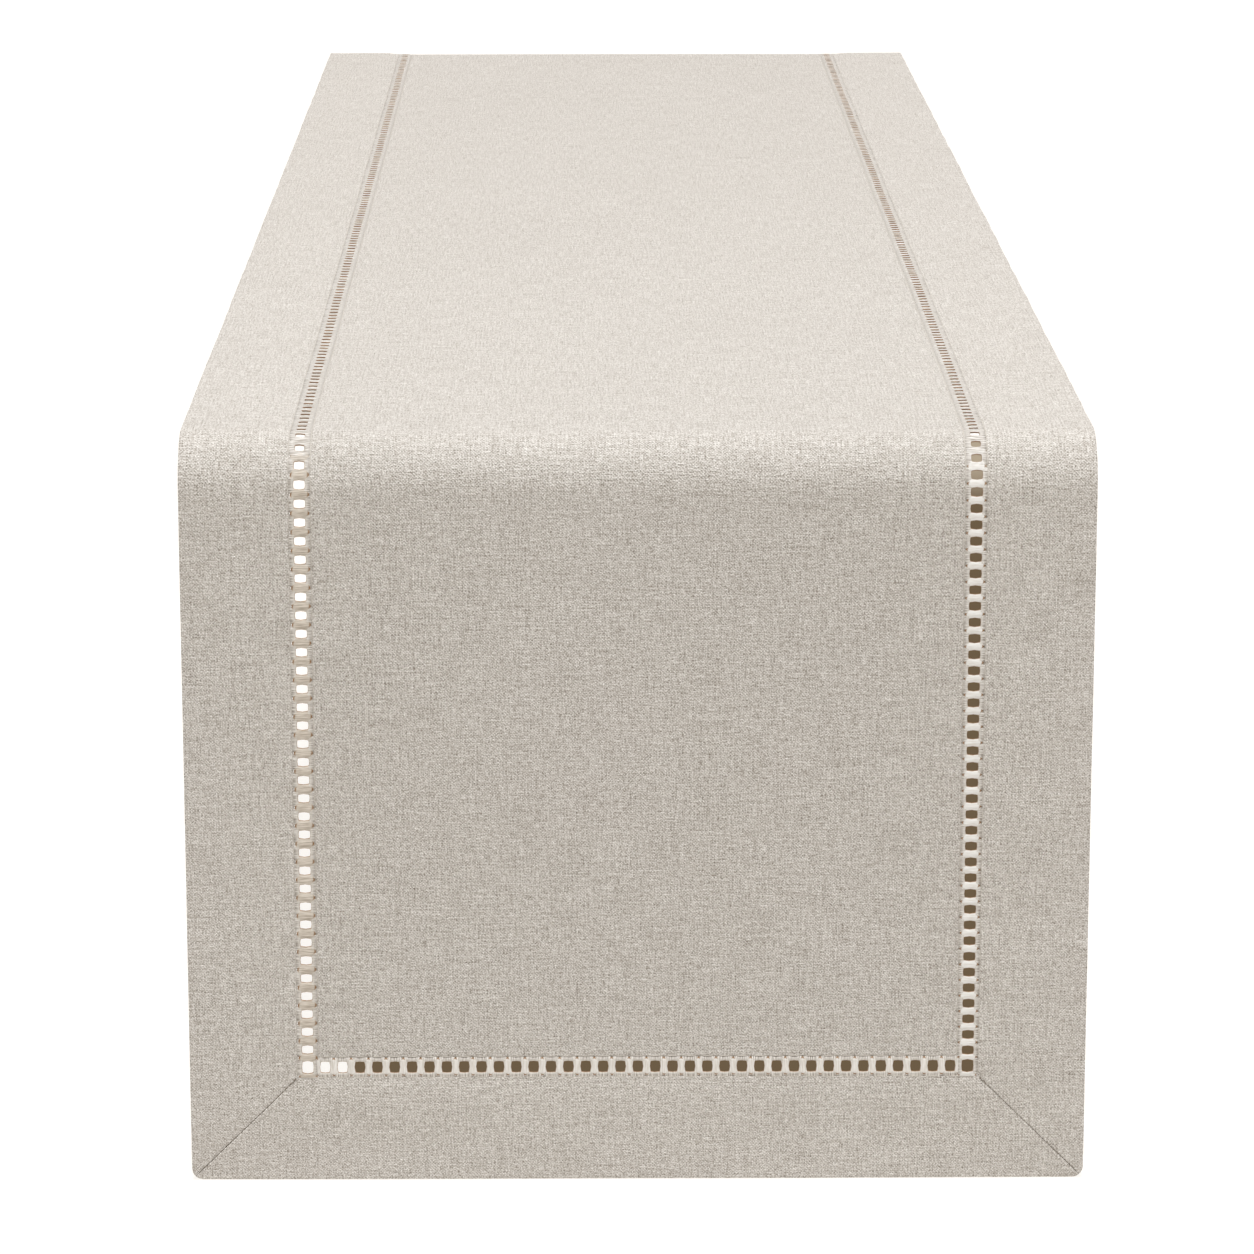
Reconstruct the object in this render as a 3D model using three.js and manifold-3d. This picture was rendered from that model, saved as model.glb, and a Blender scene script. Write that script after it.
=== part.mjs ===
// A hemstitched linen table runner, draped over a table.
// Millimetres, +Z up. X runs across the runner, Y along its length, and the front drop hangs at -Y.
// The origin is the middle of the cloth's underside, where it rests on the table top (z = 0).
// Every place on the runner has three sizes: x across it, s along its underside from the front
// hem's edge, and h outwards through the cloth. The underside goes up the front drop, round the
// table's front edge, along the top, round the back edge and down the back drop.

import * as THREE from 'three';
import { mergeVertices } from 'three/addons/utils/BufferGeometryUtils.js';
import Module from 'manifold-3d';

// ---- The cloth
const WIDTH = 356;          // 14 inches, between the two long folded edges
const LENGTH = 1829;        // 72 inches, from hem edge to hem edge when laid flat
const PLY = 0.6;            // one layer of linen
const BORDER_PLY = 1.2;     // the border is folded double
const CORNER_R = 4.5;       // the outer corners are turned slightly round

// ---- How it lies
const DROP = 300;           // from the table top down to the hem's edge, the same at both ends
const TABLE_EDGE_R = 20;    // the round of the table's edge, which the underside follows
const BEND_STEPS = 12;      // flats in each quarter round

// ---- The hemstitched ladders, which run all round inside the border
const LADDER_LINE = 46.8;   // from the runner's edge to the middle of the ladder
const OPENING = 4.6;        // width from which the threads were drawn
const RIM = 1.4;            // bound cloth on each side of the opening
const LEFT_PITCH = 7.4;     // from bar to bar; the nearest whole number of bars is worked
const RIGHT_PITCH = 6.47;
const END_PITCH = 6.92;
const SIDE_HOLE = 3.1;      // clear length between two bars
const END_HOLE = 3.6;

// ---- The sewing thread
const THREAD = 0.6;         // width of the thread that binds each rim
const THREAD_H = [0.1, 0.9];
const MITRE_THREAD = 0.4;   // width of the thread that closes each mitre
const MITRE_THREAD_H = [0.3, 0.9];

const GAP = 0.3;            // left between neighbouring pieces
const CUT_OVER = 2;         // how far a cutter stands past what it cuts

// ---- Lines that follow from those sizes, as distances in from the runner's edge
const RIM_OUT = LADDER_LINE - OPENING / 2 - RIM;
const RIM_IN = LADDER_LINE + OPENING / 2 + RIM;
const OUTER_THREAD = [RIM_OUT - GAP - THREAD, RIM_OUT - GAP];
const INNER_THREAD = [RIM_IN + GAP, RIM_IN + GAP + THREAD];
const BORDER_IN = OUTER_THREAD[0] - GAP;
const PANEL_EDGE = INNER_THREAD[1] + GAP;
const MITRE_HALF = MITRE_THREAD / 2 + GAP;

const HALF = WIDTH / 2;
const BEND = TABLE_EDGE_R * Math.PI / 2;
const HANG = DROP - TABLE_EDGE_R;
const TOP = LENGTH - 2 * HANG - 2 * BEND;
const HANG_Y = TOP / 2 + TABLE_EDGE_R;

const wasm = await Module();
wasm.setup();

// ---------------------------------------------------------------- joining and cutting

function toSolid(geometry) {
  const bare = geometry.clone();
  bare.deleteAttribute('normal');
  bare.deleteAttribute('uv');
  const merged = mergeVertices(bare, 1e-4);
  return new wasm.Manifold(new wasm.Mesh({
    numProp: 3,
    vertProperties: new Float32Array(merged.attributes.position.array),
    triVerts: new Uint32Array(merged.index.array),
  }));
}

function toGeometry(solid) {
  const mesh = solid.getMesh();
  const geometry = new THREE.BufferGeometry();
  geometry.setAttribute('position', new THREE.BufferAttribute(new Float32Array(mesh.vertProperties), 3));
  geometry.setIndex(new THREE.BufferAttribute(new Uint32Array(mesh.triVerts), 1));
  geometry.computeVertexNormals();
  return geometry;
}

// Takes all the cutters, which stay clear of each other, away from a geometry.
function cut(geometry, cutters) {
  const tool = cutters.map(toSolid).reduce((all, one) => all.add(one));
  return toGeometry(toSolid(geometry).subtract(tool));
}

// ---------------------------------------------------------------- the cloth's line over the table

// The point of the underside at length s, and the way out of the cloth there, as [y, z] pairs.
function station(s) {
  const marks = [HANG, HANG + BEND, HANG + BEND + TOP, HANG + 2 * BEND + TOP];
  if (s <= marks[0]) return { at: [-HANG_Y, s - DROP], out: [-1, 0] };
  if (s >= marks[3]) return { at: [HANG_Y, LENGTH - s - DROP], out: [1, 0] };
  if (s >= marks[1] && s <= marks[2]) return { at: [s - marks[1] - TOP / 2, 0], out: [0, 1] };
  const front = s < marks[1];
  const turned = front ? (marks[1] - s) / TABLE_EDGE_R : (s - marks[2]) / TABLE_EDGE_R;
  const side = front ? -1 : 1;
  const out = [side * Math.sin(turned), Math.cos(turned)];
  return { at: [side * TOP / 2 + TABLE_EDGE_R * out[0], TABLE_EDGE_R * (out[1] - 1)], out };
}

// The lengths at which a strip from s0 to s1 needs a point: its ends and every flat of the bends.
function stops(s0, s1) {
  const all = [s0, s1];
  for (const start of [HANG, HANG + BEND + TOP]) {
    for (let i = 0; i <= BEND_STEPS; i += 1) all.push(start + BEND * i / BEND_STEPS);
  }
  return all.filter((s) => s >= s0 && s <= s1).sort((a, b) => a - b);
}

// A strip of cloth between x0 and x1 across, s0 and s1 along, h0 and h1 through: its side view,
// which is the underside's line moved out by h0 and by h1, is extruded across the runner.
function strip([x0, x1], [h0, h1], [s0, s1]) {
  const along = stops(s0, s1).map(station);
  const moved = (h) => along.map(({ at, out }) => new THREE.Vector2(at[0] + h * out[0], at[1] + h * out[1]));
  const shape = new THREE.Shape([...moved(h0), ...moved(h1).reverse()]);
  const geometry = new THREE.ExtrudeGeometry(shape, { depth: x1 - x0, bevelEnabled: false });
  const yzx = new THREE.Matrix4().makeBasis(
    new THREE.Vector3(0, 1, 0), new THREE.Vector3(0, 0, 1), new THREE.Vector3(1, 0, 0));
  return geometry.applyMatrix4(yzx).translate(x0, 0, 0);
}

// A flat outline drawn in x and s on the front drop (end = -1) or the back drop (end = 1), with s
// counted up from that end's hem edge, and given its thickness from h0 to h1.
function onDrop(shape, [h0, h1], end) {
  const geometry = new THREE.ExtrudeGeometry(shape, { depth: h1 - h0, bevelEnabled: false });
  const place = new THREE.Matrix4().makeBasis(
    new THREE.Vector3(-end, 0, 0), new THREE.Vector3(0, 0, 1), new THREE.Vector3(0, end, 0));
  place.setPosition(0, end * (HANG_Y + h0), -DROP);
  return geometry.applyMatrix4(place);
}

// ---------------------------------------------------------------- the ladders

// Centres of the holes between two lengths, both of which are corner openings.
function holeCentres(first, last, pitch) {
  const count = Math.max(1, Math.round((last - first) / pitch));
  return Array.from({ length: count + 1 }, (_, i) => first + (last - first) * i / count);
}

// A box that cuts one hole, on the cloth's line at length s.
function holeCutter(x, s, across, along) {
  const { at, out } = station(s);
  const box = new THREE.BoxGeometry(across, along, PLY + 2 * CUT_OVER);
  box.rotateX(Math.atan2(-out[0], out[1]));
  return box.translate(x, at[0] + out[0] * PLY / 2, at[1] + out[1] * PLY / 2);
}

// A long side's ladder runs from corner to corner and holds the open square at each of them.
function sideLadder(side, pitch) {
  const x = side * (HALF - LADDER_LINE);
  const reach = LADDER_LINE - RIM_OUT;
  const whole = strip([x - reach, x + reach], [0, PLY], [RIM_OUT, LENGTH - RIM_OUT]);
  const centres = holeCentres(LADDER_LINE, LENGTH - LADDER_LINE, pitch);
  const cutters = centres.map((s, i) => {
    const corner = i === 0 || i === centres.length - 1;
    return holeCutter(x, s, OPENING, corner ? OPENING : SIDE_HOLE);
  });
  return cut(whole, cutters);
}

// An end's ladder lies between the side ladders.
function endLadder(end) {
  const reach = HALF - RIM_IN - GAP;
  const ends = end < 0 ? [RIM_OUT, RIM_IN] : [LENGTH - RIM_IN, LENGTH - RIM_OUT];
  const s = end < 0 ? LADDER_LINE : LENGTH - LADDER_LINE;
  const corner = HALF - LADDER_LINE;
  const cutters = holeCentres(-corner, corner, END_PITCH).slice(1, -1)
    .map((x) => holeCutter(x, s, END_HOLE, OPENING));
  return cut(strip([-reach, reach], [0, PLY], ends), cutters);
}

// ---------------------------------------------------------------- the border

// The eighth of a circle that turns each outer corner round, from the end's edge (s = 0) to the
// middle of the corner, as distances [u, s] in from the runner's edge and up from its end.
function cornerPoints(back) {
  const steps = 5;
  const reach = Math.PI / 4 - Math.asin(back / CORNER_R);
  return Array.from({ length: steps + 1 }, (_, i) => {
    const a = reach * i / steps;
    return [CORNER_R * (1 - Math.sin(a)), CORNER_R * (1 - Math.cos(a))];
  });
}

// The two borders of a corner stop short of the mitre line by MITRE_HALF, measured square to it.
function endBorder(end) {
  const back = MITRE_HALF * Math.SQRT2;
  const side = [...cornerPoints(MITRE_HALF), [BORDER_IN + back, BORDER_IN]];
  const right = side.map(([u, s]) => new THREE.Vector2(HALF - u, s));
  const left = side.map(([u, s]) => new THREE.Vector2(u - HALF, s)).reverse();
  return onDrop(new THREE.Shape([...right, ...left]), [0, BORDER_PLY], end);
}

// What a side border loses at one end: everything past its mitre and outside its round corner.
function sideBorderCut(side, end) {
  const back = MITRE_HALF * Math.SQRT2;
  const round = cornerPoints(MITRE_HALF).map(([u, s]) => [s, u]);
  const far = BORDER_IN + CUT_OVER;
  const points = [[-CUT_OVER, CORNER_R], ...round, [far, far + back], [far, -CUT_OVER], [-CUT_OVER, -CUT_OVER]];
  const turned = side * -end;
  const shape = new THREE.Shape(points.map(([u, s]) => new THREE.Vector2(turned * (HALF - u), s)));
  return onDrop(shape, [-CUT_OVER, BORDER_PLY + CUT_OVER], end);
}

function sideBorder(side) {
  const edges = [side * HALF, side * (HALF - BORDER_IN)].sort((a, b) => a - b);
  const whole = strip(edges, [0, BORDER_PLY], [0, LENGTH]);
  return cut(whole, [sideBorderCut(side, -1), sideBorderCut(side, 1)]);
}

// The thread that closes a mitre lies in the groove between the two borders.
function mitreThread(side, end) {
  const start = CORNER_R * (Math.SQRT2 - 1) + GAP;
  const stop = BORDER_IN * Math.SQRT2 - MITRE_THREAD / 2;
  const thick = MITRE_THREAD_H[1] - MITRE_THREAD_H[0];
  const geometry = new THREE.BoxGeometry(stop - start, MITRE_THREAD, thick);
  geometry.rotateZ(Math.PI / 4).translate((start + stop) / 2 / Math.SQRT2, (start + stop) / 2 / Math.SQRT2, 0);
  geometry.rotateX(Math.PI / 2);
  geometry.translate(-HALF, 0, -DROP);
  if (side > 0) geometry.rotateZ(Math.PI);
  const middle = HANG_Y + (MITRE_THREAD_H[0] + MITRE_THREAD_H[1]) / 2;
  return geometry.translate(0, end * middle, 0);
}

// ---------------------------------------------------------------- the binding threads

// Along a long side: it starts and stops clear of the two ends' threads.
function sideThread(side, [near, far], clear) {
  const edges = [side * (HALF - near), side * (HALF - far)].sort((a, b) => a - b);
  return strip(edges, THREAD_H, [clear, LENGTH - clear]);
}

// Across an end: it takes in both corners.
function endThread(end, [near, far]) {
  const reach = HALF - near;
  return strip([-reach, reach], THREAD_H, end < 0 ? [near, far] : [LENGTH - far, LENGTH - near]);
}

// ---------------------------------------------------------------- the runner

const LINEN = { color: 0xcbc2b6, roughness: 0.92, metalness: 0 };
const BORDER = { color: 0xccc3b7, roughness: 0.9, metalness: 0 };
const BARS = { color: 0xded6ca, roughness: 0.85, metalness: 0 };
const BINDING = { color: 0xe6decf, roughness: 0.8, metalness: 0 };
const SEAM = { color: 0xb9afa2, roughness: 0.85, metalness: 0 };

const group = new THREE.Group();

function add(name, geometry, look) {
  const mesh = new THREE.Mesh(geometry, new THREE.MeshStandardMaterial(look));
  mesh.name = name;
  group.add(mesh);
}

const panelReach = HALF - PANEL_EDGE;
add('centre_panel', strip([-panelReach, panelReach], [0, PLY], [PANEL_EDGE, LENGTH - PANEL_EDGE]), LINEN);

for (const [word, side, pitch] of [['left', -1, LEFT_PITCH], ['right', 1, RIGHT_PITCH]]) {
  add(`border_${word}`, sideBorder(side), BORDER);
  add(`ladder_${word}`, sideLadder(side, pitch), BARS);
  add(`binding_${word}_outer`, sideThread(side, OUTER_THREAD, RIM_OUT), BINDING);
  add(`binding_${word}_inner`, sideThread(side, INNER_THREAD, PANEL_EDGE), BINDING);
}

for (const [word, end] of [['front', -1], ['back', 1]]) {
  add(`border_${word}`, endBorder(end), BORDER);
  add(`ladder_${word}`, endLadder(end), BARS);
  add(`binding_${word}_outer`, endThread(end, OUTER_THREAD), BINDING);
  add(`binding_${word}_inner`, endThread(end, INNER_THREAD), BINDING);
  add(`mitre_${word}_left`, mitreThread(-1, end), SEAM);
  add(`mitre_${word}_right`, mitreThread(1, end), SEAM);
}

export default group;
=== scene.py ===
# %% [markdown]
# # A hemstitched linen table runner, draped over a table
#
# The real thing is one long strip of pressed linen. All round it a folded border, mitred at the
# corners, is held by hemstitching: a narrow band of threads is drawn out, and the threads that are
# left are gathered into little bars, so that the band becomes a ladder of square holes.
#
# The lesson builds it as a maker would look at it: first the line on which the cloth lies, then
# the cloth, the border, the ladders, the sewing threads, and at last the finishes, the light and
# the camera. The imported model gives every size, and each piece made here stands for one of its
# nodes.

import math

import bpy
import numpy as np
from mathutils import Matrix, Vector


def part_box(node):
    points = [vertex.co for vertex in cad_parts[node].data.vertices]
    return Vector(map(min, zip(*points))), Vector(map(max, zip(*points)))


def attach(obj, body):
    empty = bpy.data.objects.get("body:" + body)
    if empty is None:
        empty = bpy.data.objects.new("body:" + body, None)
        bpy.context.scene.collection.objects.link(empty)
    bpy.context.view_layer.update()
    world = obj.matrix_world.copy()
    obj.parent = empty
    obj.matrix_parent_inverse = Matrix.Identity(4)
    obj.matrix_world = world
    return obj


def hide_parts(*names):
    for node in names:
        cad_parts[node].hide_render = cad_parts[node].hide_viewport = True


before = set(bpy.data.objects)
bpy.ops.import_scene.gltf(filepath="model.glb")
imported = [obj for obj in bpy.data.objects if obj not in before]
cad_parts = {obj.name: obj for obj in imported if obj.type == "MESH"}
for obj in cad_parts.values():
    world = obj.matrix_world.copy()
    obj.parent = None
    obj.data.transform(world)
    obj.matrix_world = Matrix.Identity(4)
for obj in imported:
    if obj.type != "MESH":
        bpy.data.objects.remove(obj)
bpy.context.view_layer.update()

# %% [markdown]
# ## The line on which the cloth lies
#
# Draped linen that was pressed flat follows the table: straight up the front drop, round the
# table's edge, along the top, and down again at the back. A simulation could find that line, but
# it would only come back to the same one with a little noise, so it is worked out instead. Every
# place on the runner has three sizes: x across, s along the underside from the front hem, and h
# outwards through the cloth.

# %% Sizes of the runner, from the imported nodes
MM = 0.001
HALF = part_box("border_right")[1].x  # from the middle to the long folded edge
BORDER_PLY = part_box("border_right")[1].z  # the border is folded double
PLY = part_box("centre_panel")[1].z  # one layer of linen
DROP = -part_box("border_front")[0].z  # from the table top down to the hem
HANG_Y = -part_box("border_front")[1].y  # the drop's underside stands this far out
EDGE_ROUND = 20 * MM  # the round of the table's edge
BEND = EDGE_ROUND * math.pi / 2
HANG = DROP - EDGE_ROUND
TOP = 2 * (HANG_Y - EDGE_ROUND)
LENGTH = TOP + 2 * BEND + 2 * HANG
print(f"runner {2 * HALF:.3f} x {LENGTH:.3f} m, drop {DROP:.3f} m")


# %% Lines that run round the runner, as distances in from its edge
def middle_in(node):
    """How far in from the long edge the middle of a node lies."""
    low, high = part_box(node)
    return HALF - (low.x + high.x) / 2


BORDER_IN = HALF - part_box("border_right")[0].x
RIM_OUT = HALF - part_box("ladder_right")[1].x
RIM_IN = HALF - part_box("ladder_right")[0].x
LADDER_LINE = (RIM_OUT + RIM_IN) / 2
PANEL_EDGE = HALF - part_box("centre_panel")[1].x
OUTER_THREAD = middle_in("binding_right_outer")
INNER_THREAD = middle_in("binding_right_inner")
CORNER_ROUND = 4.5 * MM
print(f"ladder line {LADDER_LINE / MM:.1f} mm in, panel from {PANEL_EDGE / MM:.1f} mm in")


# %% The cloth's line over the table
def cloth_line(s):
    """Place and outward direction of the underside at length s, as y, z, out_y and out_z.
    With t the length from the nearer hem: z rises with t up the drop, then the point goes a
    quarter circle of radius EDGE_ROUND, then y runs inwards with t along the top."""
    t = LENGTH / 2 - np.abs(s - LENGTH / 2)
    side = np.where(s < LENGTH / 2, -1.0, 1.0)
    turned = np.clip((HANG + BEND - t) / EDGE_ROUND, 0, math.pi / 2)
    inwards = np.clip(t - HANG - BEND, 0, None)
    below = np.clip(HANG - t, 0, None)
    y = side * (TOP / 2 - inwards + EDGE_ROUND * np.sin(turned))
    z = EDGE_ROUND * (np.cos(turned) - 1) - below
    return y, z, side * np.sin(turned), np.cos(turned)


def step_up(value, low, high):
    """Goes smoothly from 0 at low to 1 at high: 3t^2 - 2t^3."""
    t = np.clip((value - low) / (high - low), 0, 1)
    return t * t * (3 - 2 * t)


# %% [markdown]
# ## The ease of pressed cloth
#
# No linen lies dead flat. The middle of a pressed runner has long, very low swells, and the
# border, which is stitched to a ladder that draws it in slightly, has short puckers across it.
# Both are tenths of a millimetre high: too low to see as a shape, but the light picks them up as
# soft bands. They are sums of a few waves, so that every piece on the cloth can share them.

# %% Swells and puckers
SWELL = 0.32 * MM
PUCKER = 0.27 * MM
FADE = (6 * MM, 14 * MM)  # the puckers die away from before the border's end to past it
PEAK = 1.6  # about what a sum of waves rises to, where the squares of the weights add up to 1
rng = np.random.default_rng(14)


def wave_set(count, across, along):
    """Random waves: for each, turns per metre across and along, a phase and a weight."""
    return np.stack(
        [
            rng.uniform(-across, across, count),
            rng.uniform(along[0], along[1], count),
            rng.uniform(0, 2 * math.pi, count),
            rng.uniform(0.5, 1, count),
        ],
        axis=1,
    )


swells = wave_set(7, 5.0, (1.5, 6.5))
puckers = wave_set(9, 6.0, (14, 32))


def waves(table, x, s):
    """Sum over the waves of weight * sin(2 pi (across x + along s) + phase), from about -1 to 1."""
    total = 0.0
    for across, along, phase, weight in table:
        total = total + weight * np.sin(2 * math.pi * (across * x + along * s) + phase)
    return total / np.sqrt((table[:, 3] ** 2).sum()) / PEAK


def ease(x, s):
    """Height of the cloth's swells and, near the edges, of the border's puckers."""
    edge = np.minimum(HALF - np.abs(x), LENGTH / 2 - np.abs(s - LENGTH / 2))
    near_border = 1 - step_up(edge, BORDER_IN - FADE[0], BORDER_IN + FADE[1])
    return SWELL * (1 + waves(swells, x, s)) + PUCKER * near_border * (1 + waves(puckers, x, s))


def turn_corner(x, s):
    """Moves the square corner onto a round one: inside a corner square of side R, the distances
    (p, q) out from its inner corner are scaled by max(p, q) / length of (p, q)."""
    p = CORNER_ROUND - (HALF - np.abs(x))
    q = CORNER_ROUND - (LENGTH / 2 - np.abs(s - LENGTH / 2))
    inside = (p > 0) & (q > 0)
    k = np.where(inside, np.maximum(p, q) / np.maximum(np.hypot(p, q), 1e-9), 1.0)
    x = x + np.sign(x) * np.where(inside, p * (k - 1), 0)
    s = s + np.sign(s - LENGTH / 2) * np.where(inside, q * (k - 1), 0)
    return x, s


def lay(x, s, h):
    """Points of the laid runner: the cloth's line at s, moved out by h and by the cloth's ease."""
    x, s = turn_corner(x, s)
    y, z, out_y, out_z = cloth_line(s)
    out = h + ease(x, s)
    return np.stack([x, y + out * out_y, z + out * out_z], axis=-1)


print(f"swell {SWELL / MM:.2f} mm, pucker {PUCKER / MM:.2f} mm")

# %% [markdown]
# ## From arrays to a mesh
#
# A piece is a closed skin. Its points come as arrays, its faces as rows of four point numbers, and
# each point keeps its place on the flat cloth (x and s, in metres) as its UV, so that the weave
# follows the threads round the bends.


# %% Helpers that make a piece
def make_piece(name, points, flat, faces, node, slot, part=None):
    """Makes one smooth mesh object that stands for a CAD node and rides on the runner's one body.
    flat is each point's place on the flat cloth, and part a colour for each point."""
    mesh = bpy.data.meshes.new(name)
    mesh.from_pydata(points.tolist(), [], faces)
    corners = np.empty(len(mesh.loops), dtype=np.int32)
    mesh.loops.foreach_get("vertex_index", corners)
    uv = mesh.uv_layers.new(name="cloth")
    uv.data.foreach_set("uv", flat[corners].astype(np.float32).ravel())
    if part is not None:
        layer = mesh.attributes.new("part", "FLOAT_COLOR", "POINT")
        layer.data.foreach_set("color", part.astype(np.float32).ravel())
    mesh.polygons.foreach_set("use_smooth", np.ones(len(faces), dtype=bool))
    mesh.update()
    piece = bpy.data.objects.new(name, mesh)
    bpy.context.scene.collection.objects.link(piece)
    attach(piece, "root")
    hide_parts(node)
    print(f"{name}: {len(points)} points, {len(faces)} faces")
    return piece


def grid_faces(rows, columns):
    """Faces of a grid of rows x columns points that are numbered row by row."""
    i = np.arange(rows - 1)[:, None] * columns + np.arange(columns - 1)[None, :]
    return np.stack([i, i + 1, i + columns + 1, i + columns], axis=-1).reshape(-1, 4)


def two_faced(x, s, under, over, outward):
    """A thin closed skin: the grid's upper face at height over, its lower face at height under, and
    a wall all round. outward is 1 where (x, s) turns the upper face outwards, or -1."""
    rows, columns = x.shape
    count = rows * columns
    points = np.concatenate([lay(x, s, over).reshape(-1, 3), lay(x, s, under).reshape(-1, 3)])
    flat = np.stack([x, s], axis=-1).reshape(-1, 2)
    upper = grid_faces(rows, columns)
    number = np.arange(count).reshape(rows, columns)
    loop = np.concatenate([number[0, :-1], number[:-1, -1], number[-1, :0:-1], number[:0:-1, 0]])
    after = np.roll(loop, -1)
    wall = np.stack([after, loop, loop + count, after + count], axis=-1)
    faces = np.concatenate([upper, upper[:, ::-1] + count, wall])
    faces = faces if outward > 0 else faces[:, ::-1]
    return points, np.concatenate([flat, flat]), faces.tolist()


def even(first, last, pitch):
    """Evenly spaced stops from first to last, about pitch apart."""
    return np.linspace(first, last, max(2, int(round((last - first) / pitch)) + 1))


DROP_PITCH, BEND_PITCH, TOP_PITCH = 5 * MM, 1.6 * MM, 4.2 * MM  # how close the stops are


def along_stops(first, last):
    """Stops along the runner: far apart on the drops and the top, close together in the bends."""
    marks = [first, HANG, HANG + BEND, LENGTH - HANG - BEND, LENGTH - HANG, last]
    pitches = [DROP_PITCH, BEND_PITCH, TOP_PITCH, BEND_PITCH, DROP_PITCH]
    runs = [even(a, b, p)[:-1] for a, b, p in zip(marks[:-1], marks[1:], pitches)]
    return np.concatenate(runs + [[last]])


BLUNT = 0.03  # keeps an edge's rounding above 0, so that the skin never closes to a knife edge


def rounded(distance, radius):
    """Half thickness near an edge, as a share of the full one: with t the share of the radius that
    is left to go, sqrt(1 - t^2), which is a quarter circle, and at least sqrt(BLUNT)."""
    t = 1 - np.clip(distance / radius, 0, 1)
    return np.sqrt(np.clip(1 - t * t, BLUNT, 1))


# %% [markdown]
# ## The centre cloth
#
# The middle of the runner is one layer of linen, from ladder to ladder. A flat plane with a
# thickness added would do for it, but its edges would be square, and they show beside the holes.
# So it is a grid over x and s with a face above and a face below, a cloth's thickness apart, and
# its edges, where the hemstitch holds it, are turned round.

# %% Centre cloth
TUCK = 0.55 * MM  # the cloth goes this far under the binding thread
TURN = 0.35 * MM  # its edge is rounded over this width
LIP = np.array([0, 0.08, 0.2, 0.4]) * MM  # stops close to an edge, and the next one is here
LIP_END = 1.5 * MM
CENTRE_PITCH = 4.4 * MM


def centre_cloth():
    """x runs across and s along, and h is the middle of the layer plus or minus half a ply,
    rounded off within TURN of the edge."""
    reach = HALF - PANEL_EDGE + TUCK
    first = PANEL_EDGE - TUCK
    across = even(-reach + LIP_END, reach - LIP_END, CENTRE_PITCH)
    across = np.concatenate([-reach + LIP, across, reach - LIP[::-1]])
    along = along_stops(first + LIP_END, LENGTH - first - LIP_END)
    along = np.concatenate([first + LIP, along, LENGTH - first - LIP[::-1]])
    s, x = np.meshgrid(along, across, indexing="ij")
    edge = np.minimum(reach - np.abs(x), LENGTH / 2 - first - np.abs(s - LENGTH / 2))
    half = PLY / 2 * rounded(edge, TURN)
    return two_faced(x, s, PLY / 2 - half, PLY / 2 + half, 1)


centre = make_piece("centre_cloth", *centre_cloth(), "centre_panel", "linen")

# %% [markdown]
# ## The border
#
# Each border is the cloth's own edge folded to the back, so it is two layers thick, with a soft
# round fold at the outside. The inside edge is caught by the hemstitch and thins out towards it.
# At the corners the folds meet in mitres. One frame of cloth could stand for all four, but the
# threads turn a corner at each mitre, and a real groove shows there. So each border is a piece of
# its own, again a grid with two faces: a counts in from its own fold, b along it from the corner,
# and the grid's end rows lean over to 45 degrees.

# %% Borders
MITRE_GAP = 0.06 * MM  # from the mitre line to each border, square to it
MITRE_ROUND = 0.5 * MM
FAN = 60 * MM  # the leaning rows straighten out over this length
FAN_ROWS = np.array(
    [[0, 0.004, 0.01, 0.019, 0.032, 0.05, 0.072, 0.1, 0.15, 0.22, 0.32, 0.45, 0.6, 0.8]]
).T  # where those rows stand, as shares of it
FOLD = np.array([0, 0.035, 0.12, 0.3, 0.6, 1.2, 2.4]) * MM  # stops in from the fold
STITCHED = np.array([2.6, 1.6, 0.9, 0.5, 0.25, 0.08, 0]) * MM  # stops out from the stitched edge
UNDER_THREAD = 0.1 * MM  # the stitched edge goes this far past the thread's line,
TURNED_IN = 0.3 * MM  # and is rounded over this width
EVEN_FROM = 5 * MM  # even stops begin this far from the fold and from the stitched edge
ACROSS_PITCH, ALONG_PITCH = 4 * MM, 4.5 * MM
THINS_OVER = 9 * MM  # two layers become one over this width, towards the stitched edge
THIN_MIDDLE = 0.55 * PLY  # there the middle of the cloth is this high


def border(side_border, where):
    """Over a (in from the fold) and b (from the corner): b = a + gap at the mitre, and straightens
    out over FAN. Half thickness is the ply's half, rounded at the fold, the mitres and the
    stitched edge, and the middle sinks to the single cloth's at the stitched edge."""
    inner = OUTER_THREAD + UNDER_THREAD
    evenly = even(EVEN_FROM, inner - EVEN_FROM, ACROSS_PITCH)
    a = np.concatenate([FOLD, evenly, inner - STITCHED])
    if side_border:
        total, middle = LENGTH, along_stops(FAN, LENGTH - FAN)
    else:
        total, middle = 2 * HALF, even(FAN, 2 * HALF - FAN, ALONG_PITCH)
    lean = a + MITRE_GAP * math.sqrt(2)
    near = lean[None, :] * (1 - FAN_ROWS) + FAN * FAN_ROWS
    b = np.concatenate([near, np.repeat(middle[:, None], len(a), 1), total - near[::-1]])
    a = np.repeat(a[None, :], len(b), 0)
    to_mitre = (np.minimum(b, total - b) - a) / math.sqrt(2) - MITRE_GAP
    doubled = step_up(inner - a, 0, THINS_OVER)
    middle_h = THIN_MIDDLE + (BORDER_PLY / 2 - THIN_MIDDLE) * doubled
    half = (PLY / 2 + (BORDER_PLY / 2 - PLY / 2) * doubled) * rounded(inner - a, TURNED_IN)
    half = half * rounded(a, BORDER_PLY / 2) * rounded(to_mitre, MITRE_ROUND)
    x, s = (HALF - a, b) if side_border else (b - HALF, a)
    if where in ("left", "back"):
        x, s = (-x, s) if side_border else (x, LENGTH - s)
    outward = {"right": -1, "left": 1, "front": -1, "back": 1}[where]
    return two_faced(x, s, middle_h - half, middle_h + half, outward)


borders = {}
for where in ("left", "right", "front", "back"):
    skin = border(where in ("left", "right"), where)
    borders[where] = make_piece(f"{where}_border", *skin, f"border_{where}", "border_linen")

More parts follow.
